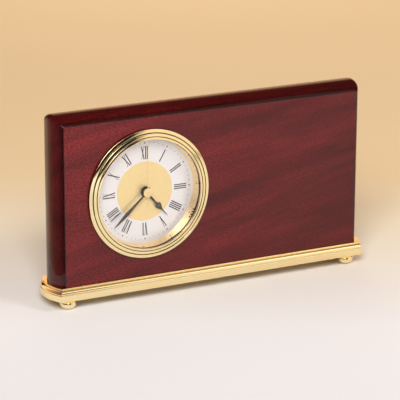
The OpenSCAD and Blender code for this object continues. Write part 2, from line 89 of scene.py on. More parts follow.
BLOCK_BOW = 5.3
BLOCK_CORNER = 1.8
CORNER_GAIN = 0.4
BLOCK_FILLET = 0.7
BORE_R = 36.6
BORE_EASE = 0.4
BASE_BOW = 4.9
BASE_CORNER = 0.45
SCREW_HEAD_R = 3
BEZEL_IN_R = 34.3
BEZEL_RECESS = 2.1
DIAL_SEEN_R = 33
DIAL_T = 0.5
DIAL_HOLE_R = 2.3
GOLD_R = 18.65
HOUR_LEN = 22.9
MINUTE_LEN = 30.3
SECOND_LEN = 29.5
HOURS, MINUTES = 4, 38
MINUTE_TURN = -6 * MINUTES
HOUR_TURN = -30 * (HOURS + MINUTES / 60)


# ---- Mesh tools ----

def arc(x, y, radius, start, end, steps):
    """Points of an arc from one angle to another, in degrees."""
    angles = [math.radians(start + (end - start) * i / steps) for i in range(steps + 1)]
    return [(x + radius * math.cos(a), y + radius * math.sin(a)) for a in angles]


def circle(x, y, radius, steps=48):
    """A round outline that can grow: given a distance, it gives its points that much further out."""
    return lambda grow=0.0: arc(x, y, radius + grow, 0, 360 - 360 / steps, steps - 1)


def rounded_box(x, y, half_w, half_h, corner, steps=6):
    """A rectangle with round corners that can grow, as circle() can."""
    def outline(grow=0.0):
        w, h = half_w - corner, half_h - corner
        spots = [(w, h, 0), (-w, h, 90), (-w, -h, 180), (w, -h, 270)]
        return [p for cx, cy, a in spots for p in arc(x + cx, y + cy, corner + grow, a, a + 90, steps)]
    return outline


def ring_of(bm, points, height):
    return [bm.verts.new((x, y, height)) for x, y in points]


def band(bm, a, b, wrap=True):
    """Faces between two rings of vertices. A ring of one vertex is a pole."""
    count = max(len(a), len(b))
    for i in range(count if wrap else count - 1):
        j = i + 1
        corners = [a[i % len(a)], a[j % len(a)], b[j % len(b)], b[i % len(b)]]
        bm.faces.new(list(dict.fromkeys(corners)))


def fill(bm, *loops):
    """Flat face inside the first loop and outside the others."""
    edges = []
    for loop in loops:
        for a, b in zip(loop, loop[1:] + loop[:1]):
            edges.append(bm.edges.get((a, b)) or bm.edges.new((a, b)))
    bmesh.ops.triangle_fill(bm, use_beauty=True, edges=edges)


def lathe(bm, profile, steps=128, closed=True):
    """Turns an outline of (radius, height) points about Z. A closed outline's ends are joined."""
    rings = []
    for radius, height in profile:
        if radius < 1e-6:
            rings.append([bm.verts.new((0, 0, height))])
        else:
            rings.append(ring_of(bm, circle(0, 0, radius, steps)(), height))
    for a, b in zip(rings, rings[1:] + (rings[:1] if closed else [])):
        band(bm, a, b)


def plate(bm, outer, holes, low, high, chamfer=0.0):
    """A flat plate between two levels, with holes and eased edges."""
    bottoms, tops = [], []
    for outline, sign in [(outer, -1)] + [(hole, 1) for hole in holes]:
        levels = [(0, low), (0, high)]
        if chamfer:
            eased = sign * chamfer
            levels = [(eased, low), (0, low + chamfer), (0, high - chamfer), (eased, high)]
        rings = [ring_of(bm, outline(grow), height) for grow, height in levels]
        for a, b in zip(rings, rings[1:]):
            band(bm, a, b)
        bottoms.append(rings[0])
        tops.append(rings[-1])
    fill(bm, *bottoms)
    fill(bm, *tops)


def prism(bm, points, low, high):
    """A small upright solid over a convex outline."""
    a, b = ring_of(bm, points, low), ring_of(bm, points, high)
    band(bm, a, b)
    bm.faces.new(a)
    bm.faces.new(b)


def piece(name, bm, body, finish, replaces=(), place=None, sharp=32):
    """Puts down a mesh made in millimetres, soft-shaded but for its sharp edges, to ride on a body."""
    bmesh.ops.recalc_face_normals(bm, faces=bm.faces)
    for edge in bm.edges:
        edge.smooth = edge.calc_face_angle(0) < math.radians(sharp)
    for face in bm.faces:
        face.smooth = True
    mesh = bpy.data.meshes.new(name)
    bm.to_mesh(mesh)
    bm.free()
    mesh.transform(Matrix.Scale(MM, 4) @ (place or Matrix.Identity(4)))
    mesh.materials.append(finish)
    obj = bpy.data.objects.new(name, mesh)
    bpy.context.scene.collection.objects.link(obj)
    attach(obj, body)
    if replaces:
        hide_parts(*replaces)
    return obj


# ---- Materials ----

class Finish:
    """A material whose Principled shader is fed by procedural textures in the object's own space."""

    def __init__(self, name, **values):
        self.material = bpy.data.materials.new(name)
        self.material.use_nodes = True
        self.tree = self.material.node_tree
        self.shader = self.tree.nodes["Principled BSDF"]
        self.place = self.add("ShaderNodeTexCoord").outputs["Object"]
        for socket, value in values.items():
            self.shader.inputs[socket.replace("_", " ")].default_value = value

    def add(self, kind, inputs=None, **settings):
        node = self.tree.nodes.new(kind)
        for key, value in settings.items():
            setattr(node, key, value)
        for socket, source in (inputs or {}).items():
            self.feed(node.inputs[socket], source)
        return node

    def feed(self, socket, source):
        if isinstance(source, bpy.types.NodeSocket):
            self.tree.links.new(source, socket)
        else:
            socket.default_value = source

    def noise(self, scale, detail=3.0, stretch=(1, 1, 1), turn=(0, 0, 0), distortion=0.0):
        """A noise from 0 to 1, with scale features to the metre. A stretch under 1 draws it out."""
        turned = self.add("ShaderNodeMapping", {"Vector": self.place, "Rotation": turn})
        mapped = self.add("ShaderNodeMapping", {"Vector": turned.outputs[0], "Scale": stretch})
        inputs = {"Vector": mapped.outputs[0], "Scale": scale, "Detail": detail}
        inputs["Distortion"] = distortion
        return self.add("ShaderNodeTexNoise", inputs).outputs["Fac"]

    def ramp(self, fac, *stops):
        """Colours along a 0 to 1 value, given as (position, colour) stops."""
        node = self.add("ShaderNodeValToRGB", {"Fac": fac})
        while len(node.color_ramp.elements) < len(stops):
            node.color_ramp.elements.new(0.5)
        for element, (position, colour) in zip(node.color_ramp.elements, stops):
            element.position = position
            element.color = (*colour, 1)
        return node.outputs["Color"]

    def spread(self, fac, low, high, start=0.3, end=0.7):
        """A number that goes from low to high as fac goes from start to end."""
        inputs = {"Value": fac, "From Min": start, "From Max": end, "To Min": low, "To Max": high}
        return self.add("ShaderNodeMapRange", inputs).outputs["Result"]

    def axes(self):
        """The surface point's own X, Y and Z, in metres."""
        return self.add("ShaderNodeSeparateXYZ", {"Vector": self.place}).outputs

    def reckon(self, operation, *values):
        """One number worked out from others."""
        return self.add("ShaderNodeMath", dict(enumerate(values)), operation=operation).outputs[0]

    def vector(self, operation, a, b):
        """Outputs of a sum done on vectors."""
        return self.add("ShaderNodeVectorMath", {0: a, 1: b}, operation=operation).outputs

    def mix(self, share, a, b, blend="MIX"):
        node = self.add("ShaderNodeMix", data_type="RGBA", blend_type=blend)
        self.feed(node.inputs["Factor"], share)
        self.feed(node.inputs[6], a)
        self.feed(node.inputs[7], b)
        return node.outputs[2]

    def colour(self, source):
        self.feed(self.shader.inputs["Base Color"], source)

    def roughness(self, source):
        self.feed(self.shader.inputs["Roughness"], source)

    def bump(self, height, distance, strength=1.0):
        """Relief of that many metres from low to high."""
        node = self.add("ShaderNodeBump", {"Height": height, "Distance": distance, "Strength": strength})
        self.feed(self.shader.inputs["Normal"], node.outputs["Normal"])


def lacquered_wood():
    """Dark hardwood with a red stain under thick clear gloss: fine pores, mottled figure and slanting bands,
    with painted sheen and painted shade.
    """
    f = Finish(
        "lacquered_wood", Specular_IOR_Level=0.06, Coat_Weight=0.92, Coat_Roughness=0.02, Coat_IOR=1.4)
    half_w, top, bow = BLOCK_HIGH.x * MM, BLOCK_HIGH.z * MM, BLOCK_BOW * MM
    full = (1, 1, 1)
    slant = (0, math.radians(8), 0)
    steep = (0, math.radians(14), 0)
    axes = f.axes()
    bands = f.noise(9, 4, (0.35, 1, 2.6), slant, 1.6)
    mottle = f.noise(1100, 3, (0.6, 1, 1), slant)
    pores = f.noise(2200, 2, (0.2, 1, 1), slant)
    # Painted sheen from the front-left soft box: the colour is lighter to the left and a little lighter
    # towards the top
    rich, red, dark = (0.125, 0.009, 0.009), (0.088, 0.0045, 0.0045), (0.055, 0.002, 0.002)
    base = f.ramp(bands, (0.28, dark), (0.5, red), (0.74, rich))
    across = f.spread(axes["X"], 1.19, 0.75, -half_w, half_w)
    upper = f.spread(axes["Z"], 0.99, 1.14, 0.45 * top, top)
    shade = f.reckon("MULTIPLY", across, upper)
    stain_and_painted_light = f.add("ShaderNodeVectorMath", {0: base, "Scale": shade}, operation="SCALE").outputs[0]
    # Painted shade: darkest in a band along the front and back arrises, and darker over the bowed ends and
    # top
    sideways = f.reckon("SUBTRACT", f.reckon("ABSOLUTE", axes["X"]), half_w - bow)
    upwards = f.reckon("SUBTRACT", axes["Z"], top - bow)
    out = f.spread(f.reckon("MAXIMUM", sideways, upwards), 0, 1, -0.001, 0.003)
    deep_shade, edge = (0.14, 0.12, 0.12), (0.5, 0.5, 0.5)
    painted_edge_shade = f.ramp(out, (0.12, full), (0.17, deep_shade), (0.35, deep_shade), (0.9, edge))
    stain_and_painted_light = f.mix(1.0, stain_and_painted_light, painted_edge_shade, "MULTIPLY")
    wisps = f.noise(45, 4, (0.22, 1, 1.6), slant, 0.8)
    wisp = f.ramp(wisps, (0.34, (0.70, 0.66, 0.66)), (0.60, (1.06, 1.08, 1.08)))
    stain_and_painted_light = f.mix(1.0, stain_and_painted_light, wisp, "MULTIPLY")
    veins = f.noise(26, 3, (0.2, 1, 2.0), steep, 1.4)
    vein = f.ramp(veins, (0.45, full), (0.5, (0.74, 0.70, 0.70)), (0.55, full))
    stain_and_painted_light = f.mix(0.6, stain_and_painted_light, vein, "MULTIPLY")
    fleck_share = f.spread(axes["X"], 0.85, 0.35, -half_w, 0.4 * half_w)
    fleck = f.ramp(mottle, (0.32, (0.4, 0.3, 0.3)), (0.68, (1.55, 1.8, 1.8)))
    flecked = f.mix(fleck_share, stain_and_painted_light, fleck, "MULTIPLY")
    pore = f.ramp(pores, (0.30, (0.2, 0.15, 0.15)), (0.52, full))
    f.colour(f.mix(0.5, flecked, pore, "MULTIPLY"))
    f.roughness(f.spread(mottle, 0.4, 0.55))
    f.bump(mottle, 0.00001, 0.3)
    return f.material


def polished_metal(name, light, deep, rough):
    """Polished, lacquered metal with faint clouding."""
    f = Finish(name, Metallic=1.0)
    f.colour(f.ramp(f.noise(70, 3), (0.3, deep), (0.7, light)))
    f.roughness(f.spread(f.noise(240, 4), rough * 0.8, rough * 1.25))
    f.bump(f.noise(420, 2), 0.000004, 0.35)
    return f.material


def brass_with_painted_crease_shade():
    """Polished brass with painted shade: brown lines in the creases between the bezel's steps and at its
    inner and outer rims.
    """
    light, clouded, brown = (1.0, 0.86, 0.50), (0.99, 0.96, 0.92), (0.26, 0.16, 0.075)
    f = Finish("brass_with_painted_crease_shade", Metallic=1.0)
    from_centre = f.vector("SUBTRACT", f.place, (CLOCK_X * MM, 0, CLOCK_Z * MM))[0]
    flat = f.vector("MULTIPLY", from_centre, (1, 0, 1))[0]
    radius = f.add("ShaderNodeVectorMath", {0: flat}, operation="LENGTH").outputs["Value"]
    inner, outer = BEZEL_IN_R - 0.1, BEZEL_R + 0.1
    half_line, half_fade = 0.03, 0.045
    # Painted shade: brown lines at the inner rim, in the two creases and at the outer rim
    stops = [(0.0, brown), (0.03, light)]
    for crease in (BEZEL_IN_R + 1.6, BEZEL_R - 2.4):
        at = (crease - inner) / (outer - inner)
        stops += [(at - half_fade, light), (at - half_line, brown)]
        stops += [(at + half_line, brown), (at + half_fade, light)]
    stops += [(0.97, light), (0.985, brown)]
    crease_and_rim_shade = f.ramp(f.spread(radius, 0, 1, inner * MM, outer * MM), *stops)
    clouds = f.ramp(f.noise(70, 3), (0.3, clouded), (0.7, (1, 1, 1)))
    f.colour(f.mix(1.0, crease_and_rim_shade, clouds, "MULTIPLY"))
    f.roughness(f.spread(f.noise(240, 4), 0.04, 0.065))
    f.bump(f.noise(420, 2), 0.000004, 0.35)
    return f.material


def satin_metal(name, light, deep, rough, grain=2600):
    """Fine-blasted, clear-lacquered metal, as on a dial."""
    f = Finish(name, Metallic=0.6)
    speckle = f.noise(grain, 3)
    f.colour(f.ramp(speckle, (0.35, deep), (0.65, light)))
    f.roughness(f.spread(f.noise(grain / 2, 2), rough * 0.9, rough * 1.1))
    f.bump(speckle, 0.000006, 0.3)
    return f.material


def machined_metal(name, light, deep, rough=0.28):
    """Metal with fine turning marks."""
    f = Finish(name, Metallic=1.0)
    marks = f.noise(700, 3, (1, 9, 1))
    f.colour(f.ramp(marks, (0.3, deep), (0.7, light)))
    f.roughness(f.spread(marks, rough * 0.8, rough * 1.3))
    f.bump(marks, 0.000008, 0.4)
    return f.material


def plastic(name, light, deep, rough=0.5, grain=2200, relief=0.00001):
    """Moulded plastic with a fine spark-eroded texture."""
    f = Finish(name, Specular_IOR_Level=0.45)
    texture = f.noise(grain, 2)
    f.colour(f.ramp(f.noise(60, 3), (0.3, deep), (0.7, light)))
    f.roughness(f.spread(texture, rough * 0.85, rough * 1.15))
    f.bump(texture, relief, 0.6)
    return f.material


def dark_bronze():
    """Black-brown gloss of the hands."""
    f = Finish("dark_hand", Metallic=0.75, Coat_Weight=0.6, Coat_Roughness=0.08)
    f.colour(f.ramp(f.noise(500, 3), (0.3, (0.035, 0.022, 0.017)), (0.7, (0.075, 0.05, 0.04))))
    f.roughness(f.spread(f.noise(900, 2), 0.24, 0.34))
    return f.material


def dial_print():
    """Black printing ink, slightly brown where it thins."""
    f = Finish("dial_print", Specular_IOR_Level=0.2)
    ink = f.noise(3000, 2)
    f.colour(f.ramp(ink, (0.3, (0.012, 0.009, 0.008)), (0.7, (0.05, 0.036, 0.03))))
    f.roughness(f.spread(ink, 0.4, 0.6))
    return f.material


def clear_glass():
    """Thin flat glass: see-through, with the mirror sheen that glass has."""
    f = Finish("clear_glass", Metallic=1.0, Base_Color=(1, 1, 1, 1))
    f.roughness(f.spread(f.noise(30, 2), 0.006, 0.014))
    clear = f.add("ShaderNodeBsdfTransparent", {"Color": (0.985, 0.985, 0.98, 1)})
    edge_on = f.add("ShaderNodeLayerWeight", {"Blend": 0.5}).outputs["Facing"]
    share = f.reckon("MULTIPLY_ADD", f.reckon("POWER", edge_on, 5.0), 0.85, 0.03)
    mixed = f.add("ShaderNodeMixShader", {0: share, 1: clear.outputs[0], 2: f.shader.outputs[0]})
    f.feed(f.tree.nodes["Material Output"].inputs["Surface"], mixed.outputs[0])
    return f.material


def copper_winding():
    """Enamelled wire wound close, so that its turns show as fine lines across the coil."""
    f = Finish("copper_wire", Metallic=0.9, Coat_Weight=0.5, Coat_Roughness=0.15)
    inputs = {"Vector": f.place, "Scale": 1600.0, "Distortion": 0.4}
    turns = f.add("ShaderNodeTexWave", inputs, bands_direction="Z").outputs["Fac"]
    f.colour(f.ramp(turns, (0.1, (0.22, 0.07, 0.02)), (0.8, (0.75, 0.30, 0.12))))
    f.roughness(f.spread(turns, 0.25, 0.4, 0, 1))
    f.bump(turns, 0.00004, 0.8)
    return f.material


def circuit_green():
    """Green solder resist over faint woven glass."""
    f = Finish("green_board", Coat_Weight=0.4, Coat_Roughness=0.2)
    f.colour(f.ramp(f.noise(900, 2, (1, 1, 4)), (0.35, (0.01, 0.09, 0.035)), (0.65, (0.02, 0.17, 0.07))))
    f.roughness(f.spread(f.noise(1500, 2), 0.35, 0.5))
    return f.material


FINISHES = {
    "lacquered_wood": lacquered_wood(),
    "polished_brass": polished_metal("polished_brass", (1.0, 0.85, 0.49), (1.0, 0.82, 0.44), 0.05),
    "brass_gear": machined_metal("brass_gear", (0.86, 0.66, 0.32), (0.66, 0.47, 0.2)),
    "steel": machined_metal("steel", (0.72, 0.72, 0.74), (0.5, 0.5, 0.52)),
    "clear_glass": clear_glass(),
    "black_rubber": plastic("black_rubber", 3 * (0.028,), 3 * (0.016,), 0.75, 1500, 0.00003),
    "silver_dial": satin_metal("silver_dial", (0.83, 0.80, 0.80), (0.75, 0.72, 0.72), 0.34),
    "dark_hand": dark_bronze(),
    "black_plastic": plastic("black_plastic", (0.03, 0.03, 0.032), (0.02, 0.02, 0.021), 0.48),
    "white_plastic": plastic("white_plastic", (0.80, 0.79, 0.74), (0.72, 0.71, 0.66), 0.42),
    "copper_wire": copper_winding(),
    "green_board": circuit_green(),
    "battery_skin": machined_metal("battery_skin", (0.55, 0.42, 0.14), (0.42, 0.31, 0.09), 0.3),
}
BEZEL_BRASS = brass_with_painted_crease_shade()
CONE_GOLD = polished_metal("cone_gold", (0.97, 0.74, 0.42), (0.92, 0.67, 0.34), 0.05)
DIAL_GOLD = satin_metal("dial_gold", (0.85, 0.66, 0.33), (0.78, 0.585, 0.27), 0.36, 2200)
DIAL_PRINT = dial_print()


# ---- Wooden block ----

def block_profile():
    """The block's edge from front to back, as points: (distance out from its straight sides, depth)."""
    bow_r = (HALF_DEPTH ** 2 + BLOCK_BOW ** 2) / (2 * BLOCK_BOW)
    bow_at = BLOCK_BOW - bow_r
    low = HALF_DEPTH - BLOCK_FILLET
    fillet_at = bow_at + math.sqrt((bow_r - BLOCK_FILLET) ** 2 - low ** 2)
    meet = math.degrees(math.atan2(low, fillet_at - bow_at))
    front = [(fillet_at - 0.15, -HALF_DEPTH)] + arc(fillet_at, -low, BLOCK_FILLET, -90, -meet, 6)
    back = [(out, -depth) for out, depth in reversed(front)]
    return front + arc(bow_at, 0, bow_r, -meet, meet, 36)[1:-1] + back


def block_outline(out):
    """Ends and top of the block seen from the front, that far out from their straight lines."""
    radius = BLOCK_CORNER + CORNER_GAIN * out
    core_x = BLOCK_HIGH.x - BLOCK_BOW + out - radius
    core_z = BLOCK_HIGH.z - BLOCK_BOW + out - radius
    right = [(core_x + radius, BLOCK_LOW.z)] + arc(core_x, core_z, radius, 0, 90, 16)
    return right + [(-x, z) for x, z in reversed(right)]


def build_block():
    bm = bmesh.new()
    rings = []
    for out, depth in block_profile():
        rings.append([bm.verts.new((x, depth, z)) for x, z in block_outline(out)])
    for a, b in zip(rings, rings[1:]):
        band(bm, a, b, wrap=False)
    bm.faces.new([ring[0] for ring in rings] + [ring[-1] for ring in reversed(rings)])
    mouth_r, straight = BORE_R + BORE_EASE, HALF_DEPTH - BORE_EASE
    levels = [(mouth_r, -HALF_DEPTH), (BORE_R, -straight), (BORE_R, straight), (mouth_r, HALF_DEPTH)]
    bore = []
    for radius, depth in levels:
        spots = circle(CLOCK_X, CLOCK_Z, radius, 160)()
        bore.append([bm.verts.new((x, depth, z)) for x, z in spots])
    for a, b in zip(bore, bore[1:]):
        band(bm, a, b)
    fill(bm, rings[0], bore[0])
    fill(bm, rings[-1], bore[-1])
    piece("wood_block", bm, "case", FINISHES["lacquered_wood"], ["case_block"], sharp=25)


# ---- Brass base and feet ----

def base_profile():
    """The moulding from its underside to its top: (distance in from the outer edge, height)."""
    band_h, low_r, high_r = 4.7, 1.1, 0.5
    ovolo_r, ovolo_at, ovolo_z = 2.8, 3.1, 4.8
    nose_r, nose_at = 0.45, 2.15
    nose_z = BASE_HIGH.z - BASE_LOW.z - nose_r
    crease = ovolo_at - ovolo_r
    high_turn = math.degrees(math.acos((high_r - crease) / high_r))
    ovolo_turn = math.degrees(math.acos((ovolo_at - nose_at) / ovolo_r))
    outline = arc(low_r, low_r, low_r, 270, 180, 8)
    outline += arc(high_r, band_h - high_r, high_r, 180, 180 - high_turn, 5)
    outline += arc(ovolo_at, ovolo_z, ovolo_r, 180, 180 - ovolo_turn, 20)
    outline += arc(nose_at, nose_z, nose_r, 270, 90, 14)
    return [(inset, BASE_LOW.z + height) for inset, height in outline]


def base_outline(inset):
    """The base seen from above, that far in from its outer edge, with bowed ends and eased corners."""
    half = BASE_HIGH.y
    bow_r = (half ** 2 + BASE_BOW ** 2) / (2 * BASE_BOW)
    bow_x = BASE_HIGH.x - bow_r
    corner_y = half - inset - BASE_CORNER
    corner_x = bow_x + math.sqrt((bow_r - inset - BASE_CORNER) ** 2 - corner_y ** 2)
    meet = math.degrees(math.atan2(corner_y, corner_x - bow_x))
    corner = arc(corner_x, -corner_y, BASE_CORNER, -90, -meet, 6)
    bowed = arc(bow_x, 0, bow_r - inset, -meet, meet, 40)[1:-1]
    end = corner + bowed + [(x, -y) for x, y in reversed(corner)]
    return end + [(-x, -y) for x, y in end]


def build_base():
    bm = bmesh.new()
    rings = [ring_of(bm, base_outline(inset), height) for inset, height in base_profile()]
    for a, b in zip(rings, rings[1:]):
        band(bm, a, b)
    # Counterbores for the two screws that hold the base to the block
    screw_low, screw_high = box_mm("base_screws")
    screw_x = (screw_high.x - screw_low.x) / 2 - SCREW_HEAD_R
    bore_r, bore_h, ease = SCREW_HEAD_R + 0.2, 3, 0.2
    mouths = []
    for side in (-1, 1):
        mouth = ring_of(bm, circle(side * screw_x, 0, bore_r + ease)(), BASE_LOW.z)
        wall = ring_of(bm, circle(side * screw_x, 0, bore_r)(), BASE_LOW.z + ease)
        seat = ring_of(bm, circle(side * screw_x, 0, bore_r)(), BASE_LOW.z + bore_h)
        band(bm, mouth, wall)
        band(bm, wall, seat)
        bm.faces.new(seat)
        mouths.append(mouth)
    fill(bm, rings[0], *mouths)
    fill(bm, rings[-1])
    piece("moulded_base", bm, "case", FINISHES["polished_brass"], ["base_plate"], sharp=38)


def build_feet():
    """Bun feet, each with a stud that stands up into the base."""
    stud_r, stud_h, ease = 1.5, 4.5, 0.3
    for node in ("foot_front_left", "foot_front_right", "foot_rear_left", "foot_rear_right"):
        low, high = box_mm(node)
        foot_h = BASE_LOW.z
        bulge = (high.x - low.x) / 2
        round_r = foot_h / 2 - 0.4
        waist = bulge - round_r
        profile = [(0, 0), (waist - 0.15, 0), (waist, 0.12)]
        profile += arc(waist, foot_h / 2, round_r, -84, 84, 32)
        top = foot_h + stud_h
        profile += [(waist, foot_h), (stud_r, foot_h), (stud_r, top - ease), (stud_r - ease, top), (0, top)]
        bm = bmesh.new()
        lathe(bm, profile, 96, closed=False)
        place = Matrix.Translation(((low.x + high.x) / 2, (low.y + high.y) / 2, 0))
        piece(node + "_bun", bm, "case", FINISHES["polished_brass"], [node], place)


# ---- Bezel, crystal, cone and cup ----

def build_bezel():
    """Three sloping steps with round shoulders and creases between, climbing to the crystal's mouth."""
    steps = [(BEZEL_R, 2.2, 2.2), (BEZEL_R - 2.6, 2.0, 2.9), (BEZEL_IN_R + 1.5, 1.5, BEZEL_TOP)]
    creases = [1.3, 2.6]
    ease, r = 0.25, 0.6
    slope = math.radians(17)
    profile = [(BEZEL_R - 0.15, 0), (BEZEL_R, 0.15)]
    for i, (outer, width, top) in enumerate(steps):
        crest = outer - width + ease
        shoulder = outer - r + r * math.sin(slope)
        middle = top - (shoulder - crest) * math.tan(slope) - r * math.cos(slope)
        profile += arc(outer - r, middle, r, 0, 90 - math.degrees(slope), 12)
        profile += arc(crest, top - ease, ease, 90 - math.degrees(slope), 180, 6)
        if i < len(creases):
            profile += [(outer - width, creases[i]), (steps[i + 1][0], creases[i])]
    profile += [(BEZEL_IN_R, BEZEL_RECESS), (CUP_R, BEZEL_RECESS), (CUP_R, 0)]
    bm = bmesh.new()
    lathe(bm, profile, 256)
    piece("bezel_ring", bm, "insert", BEZEL_BRASS, ["bezel"], CLOCK, sharp=40)


def build_crystal():
    low, high = 0.9, BEZEL_RECESS
    ease = 0.15
    rim = CUP_R - 0.1
    profile = [(0, low), (rim - ease, low), (rim, low + ease)]
    profile += [(rim, high - ease), (rim - ease, high), (0, high)]
    bm = bmesh.new()
    lathe(bm, profile, closed=False)
    piece("flat_crystal", bm, "insert", FINISHES["clear_glass"], ["crystal"], CLOCK)


def build_cone():
    """The polished ring that slopes from the dial out to the crystal."""
    top = 0.4
    ease = 0.1
    outer = CUP_R - 1
    mouth = BEZEL_IN_R - ease
    profile = [(outer, DIAL_FACE), (outer, top), (mouth + ease, top), (mouth, top - ease)]
    profile += [(DIAL_SEEN_R, DIAL_FACE + 0.02), (DIAL_SEEN_R, DIAL_FACE)]
    bm = bmesh.new()
    lathe(bm, profile, 192)
    piece("cone_ring", bm, "insert", CONE_GOLD, ["rehaut_ring"], CLOCK)


def build_grip_ring():
    """Rubber ring with round ribs."""
    front, back = -6.0, -11.0
    ribs = 5
    gap = 0.05
    pitch = (front - back) / ribs
    rib_r = 0.3 * pitch
    profile = [(CUP_R, back)]
    for i in range(ribs):
        profile += arc(BORE_R - gap - rib_r, back + (i + 0.5) * pitch, rib_r, -90, 90, 8)
    profile += [(CUP_R, front)]
    bm = bmesh.new()
    lathe(bm, profile)
    piece("ribbed_grip_ring", bm, "insert", FINISHES["black_rubber"], ["grip_ring"], CLOCK)


# ---- Dial ----

THICK, THIN = 0.70, 0.26
NUMERAL_IN, NUMERAL_OUT = 20.1, 28.2
SERIF_T, SERIF_OUT = 0.17, 0.22
PRINT_T = 0.02
GOLD_T = 0.05
DOTS_R = 30.4
HOUR_DOT_R, MINUTE_DOT_R = 0.45, 0.24
NUMERALS = ["XII", "I", "II", "III", "IIII", "V", "VI", "VII", "VIII", "IX", "X", "XI"]
LETTER_W = {"I": 1.22, "V": 2.5, "X": 2.6}


def stroke(bm, foot_x, head_x, width, turn):
    """One stroke of a numeral from its foot to its head, with serifs across both ends."""
    half = width / 2
    foot = [(foot_x - half, NUMERAL_IN), (foot_x + half, NUMERAL_IN)]
    head = [(head_x + half, NUMERAL_OUT), (head_x - half, NUMERAL_OUT)]
    shapes = [foot + head]
    for x, y in ((foot_x, NUMERAL_IN), (head_x, NUMERAL_OUT - SERIF_T)):
        reach = half + SERIF_OUT
        top = y + SERIF_T
        shapes.append([(x - reach, y), (x + reach, y), (x + reach, top), (x - reach, top)])
    for shape in shapes:
        turned = [turn @ Vector((x, y, 0)) for x, y in shape]
        prism(bm, [(p.x, p.y) for p in turned], DIAL_FACE, DIAL_FACE + PRINT_T)


def numeral(bm, letters, turn):
    """Roman letters set side by side, with their feet to the middle of the dial."""
    x = -sum(LETTER_W[letter] for letter in letters) / 2
    for letter in letters:
        middle = x + LETTER_W[letter] / 2
        lean = LETTER_W[letter] / 2 - 0.5
        if letter == "I":
            stroke(bm, middle, middle, THICK, turn)
        if letter == "V":
            stroke(bm, middle + 0.1, middle - lean, THICK, turn)
            stroke(bm, middle + 0.1, middle + lean, THIN, turn)
        if letter == "X":
            stroke(bm, middle + lean, middle - lean, THICK, turn)
            stroke(bm, middle - lean, middle + lean, THIN, turn)
        x += LETTER_W[letter]


def build_dial():
    """A silver plate with a gold centre, Roman numerals and a ring of dots, and no other lettering."""
    back = DIAL_FACE - DIAL_T
    bm = bmesh.new()
    lathe(bm, [(DIAL_HOLE_R, back), (DIAL_R, back), (DIAL_R, DIAL_FACE), (DIAL_HOLE_R, DIAL_FACE)], 192)
    piece("dial_plate", bm, "insert", FINISHES["silver_dial"], ["dial"], CLOCK)
    raised = DIAL_FACE + GOLD_T
    hole_r = DIAL_HOLE_R + 0.05
    bm = bmesh.new()
    lathe(bm, [(hole_r, DIAL_FACE), (GOLD_R, DIAL_FACE), (GOLD_R - 0.06, raised), (hole_r, raised)], 160)
    piece("dial_gold_centre", bm, "insert", DIAL_GOLD, (), CLOCK)
    bm = bmesh.new()
    for hour, letters in enumerate(NUMERALS):
        numeral(bm, letters, Matrix.Rotation(math.radians(-30 * hour), 4, "Z"))
    for minute in range(60):
        angle = math.radians(6 * minute)
        radius = MINUTE_DOT_R if minute % 5 else HOUR_DOT_R
        spot = circle(DOTS_R * math.sin(angle), DOTS_R * math.cos(angle), radius, 12)
        prism(bm, spot(), DIAL_FACE, DIAL_FACE + PRINT_T)
    piece("dial_numerals", bm, "insert", DIAL_PRINT, (), CLOCK)


# ---- Hands ----

def blade(bm, half_outline, low, edge, ridge):
    """A flat hand with a shallow ridge down its middle, from its right-hand half outline."""
    right = [[bm.verts.new((x, y, z)) for z in (low, edge)] for x, y in half_outline]
    left = [[bm.verts.new((-x, y, z)) for z in (low, edge)] for x, y in half_outline]
    top = [bm.verts.new((0, y, ridge)) for x, y in half_outline]
    for i in range(len(half_outline) - 1):
        j = i + 1
        bm.faces.new([right[i][0], right[j][0], left[j][0], left[i][0]])
        for side in (right, left):
            bm.faces.new([side[i][0], side[j][0], side[j][1], side[i][1]])
            bm.faces.new([side[i][1], side[j][1], top[j], top[i]])
    for i in (0, -1):
        bm.faces.new([right[i][0], right[i][1], top[i], left[i][1], left[i][0]])


def hub(bm, radius, hole, low, high):
    """A turned hub with a round shoulder."""
    r = min(0.3, high - low - 0.03)
    shoulder = arc(radius - r, high - r, r, 0, 90, 6)
    lathe(bm, [(hole, low), (radius, low)] + shoulder + [(hole + 0.12, high), (hole, high - 0.1)], 72)


def node_level(node, at_front):
    """Level of a node's front or back face in the insert's frame."""
    low, high = box_mm(node)
    return FRONT_Y - (low.y if at_front else high.y)


def build_hands():
    """A spade hour hand, a leaf minute hand and a plain second hand with a cap, set at the time shown."""
    spade = arc(0, 13, 2, -60, 30, 12)
    hour = [(0.65, 2.5), (0.65, 10.4), (0.8, 11.0)] + spade
    hour += [(1.25, 14.9), (0.72, 16.1), (0.36, 17.6), (0.08, HOUR_LEN)]
    minute = [(0.6, 2), (0.62, 8), (0.95, 13), (1.25, 18), (1.0, 22), (0.08, MINUTE_LEN)]
    second = [(0.35, -9), (0.3, -3), (0.24, 3), (0.12, SECOND_LEN)]
    edge_t = 0.16
    for name, body, outline, hub_r, hole_r, turn in [
        ("hour_hand", "hours", hour, 3.5, 1.92, HOUR_TURN),
        ("minute_hand", "minutes", minute, 2.5, 1.37, MINUTE_TURN),
    ]:
        low, high = node_level(name, False), node_level(name, True)
        bm = bmesh.new()
        blade(bm, outline, low, low + edge_t, high)
        hub(bm, hub_r, hole_r, low, high)
        place = CLOCK @ Matrix.Rotation(math.radians(turn), 4, "Z")
        piece(name + "_blade", bm, body, FINISHES["dark_hand"], [name], place, sharp=20)
    hole_r = 0.47
    low = node_level("second_hand", False)
    top = low + 0.35
    cap_top = low + 0.7
    bm = bmesh.new()
    blade(bm, second, low, top - 0.03, top)
    hub(bm, 2.95, hole_r, low, top)
    lathe(bm, [(hole_r, top), (1.6, top), (1.55, cap_top - 0.08), (1.4, cap_top), (hole_r, cap_top)], 48)
    piece("second_hand_blade", bm, "seconds", DIAL_GOLD, ["second_hand"], CLOCK, sharp=20)


# ---- Back of the insert ----

